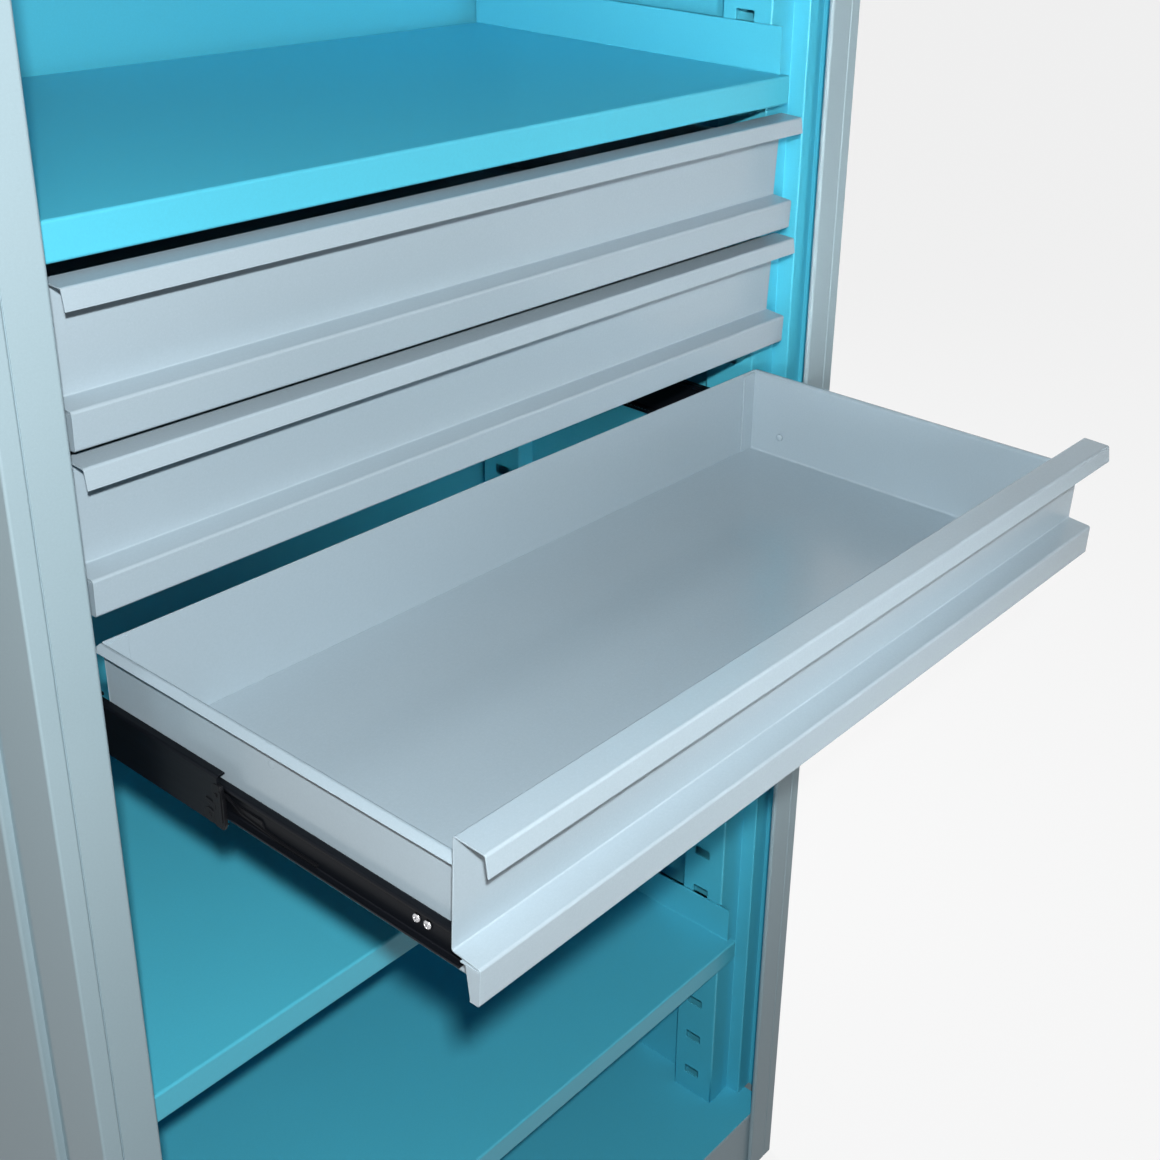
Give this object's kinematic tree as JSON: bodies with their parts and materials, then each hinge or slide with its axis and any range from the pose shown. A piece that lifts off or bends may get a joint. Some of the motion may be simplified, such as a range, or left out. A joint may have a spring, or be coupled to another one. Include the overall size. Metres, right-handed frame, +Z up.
{
  "type": "tool cabinet",
  "caption": "Open-fronted sheet-steel tool cabinet: slotted uprights carry hooked shelves and shallow drawers on ball-bearing slides, the lowest drawer standing open.",
  "frame": {"origin": "on the floor, at the middle of the carcass's footprint", "axes": "+X to the right seen from the front, +Y from the front to the back, +Z up"},
  "size_m": [0.95, 0.8577, 1.95],
  "materials": {
    "outer_paint": "light grey powder coat, slightly orange-peeled, semi-gloss",
    "inner_paint": "sky blue powder coat, semi-gloss",
    "drawer_paint": "light grey powder coat with a fine sparkle, semi-gloss",
    "slide_steel": "black coated steel, smooth and shiny",
    "stop_plastic": "black moulded plastic",
    "bearing_steel": "bright bearing steel"
  },
  "bodies": {
    "carcass": {"back_panel": "outer_paint", "base_rail": "inner_paint", "ceiling_lining": "inner_paint", "drawer_1_rail_left": "slide_steel", "drawer_1_rail_right": "slide_steel", "drawer_2_rail_left": "slide_steel", "drawer_2_rail_right": "slide_steel", "drawer_3_rail_left": "slide_steel", "drawer_3_rail_right": "slide_steel", "floor_panel": "inner_paint", "front_post_left": "outer_paint", "front_post_right": "outer_paint", "front_upright_left": "inner_paint", "front_upright_right": "inner_paint", "inner_frame": "inner_paint", "plinth_front": "outer_paint", "plinth_rear": "outer_paint", "rear_lining": "inner_paint", "rear_upright_left": "inner_paint", "rear_upright_right": "inner_paint", "roof_panel": "outer_paint", "shelf_bottom": "inner_paint", "shelf_middle": "inner_paint", "shelf_top": "inner_paint", "side_lining_left": "inner_paint", "side_lining_right": "inner_paint", "side_panel_left": "outer_paint", "side_panel_right": "outer_paint", "stile_strip_left": "outer_paint", "stile_strip_right": "outer_paint", "top_rail": "outer_paint"},
    "drawer_1": {"drawer_1_box": "drawer_paint", "drawer_1_front": "drawer_paint", "drawer_1_runner_left": "slide_steel", "drawer_1_runner_right": "slide_steel"},
    "drawer_1_middle": {"drawer_1_ball_cages": "bearing_steel", "drawer_1_middle_caps": "stop_plastic", "drawer_1_middle_left": "slide_steel", "drawer_1_middle_right": "slide_steel"},
    "drawer_2": {"drawer_2_box": "drawer_paint", "drawer_2_front": "drawer_paint", "drawer_2_runner_left": "slide_steel", "drawer_2_runner_right": "slide_steel"},
    "drawer_2_middle": {"drawer_2_ball_cages": "bearing_steel", "drawer_2_middle_caps": "stop_plastic", "drawer_2_middle_left": "slide_steel", "drawer_2_middle_right": "slide_steel"},
    "drawer_3": {"drawer_3_box": "drawer_paint", "drawer_3_front": "drawer_paint", "drawer_3_runner_left": "slide_steel", "drawer_3_runner_right": "slide_steel"},
    "drawer_3_middle": {"drawer_3_ball_cages": "bearing_steel", "drawer_3_middle_caps": "stop_plastic", "drawer_3_middle_left": "slide_steel", "drawer_3_middle_right": "slide_steel"}
  },
  "joints": [
    {"name": "drawer_1_slide", "type": "slide", "parent": "carcass", "child": "drawer_1", "axis": [0, -1, 0], "range_m": [0, 0.4]},
    {"name": "drawer_1_middle_slide", "type": "slide", "parent": "carcass", "child": "drawer_1_middle", "axis": [0, -1, 0], "range_m": [0, 0.16]},
    {"name": "drawer_2_slide", "type": "slide", "parent": "carcass", "child": "drawer_2", "axis": [0, -1, 0], "range_m": [0, 0.4]},
    {"name": "drawer_2_middle_slide", "type": "slide", "parent": "carcass", "child": "drawer_2_middle", "axis": [0, -1, 0], "range_m": [0, 0.16]},
    {"name": "drawer_3_slide", "type": "slide", "parent": "carcass", "child": "drawer_3", "axis": [0, -1, 0], "range_m": [-0.3734, 0.0266]},
    {"name": "drawer_3_middle_slide", "type": "slide", "parent": "carcass", "child": "drawer_3_middle", "axis": [0, -1, 0], "range_m": [-0.14936, 0.01064]}
  ],
  "couplings": [
    {"joint": "drawer_1_middle_slide", "follows": "drawer_1_slide", "ratio": 0.4},
    {"joint": "drawer_2_middle_slide", "follows": "drawer_2_slide", "ratio": 0.4},
    {"joint": "drawer_3_middle_slide", "follows": "drawer_3_slide", "ratio": 0.4}
  ]
}
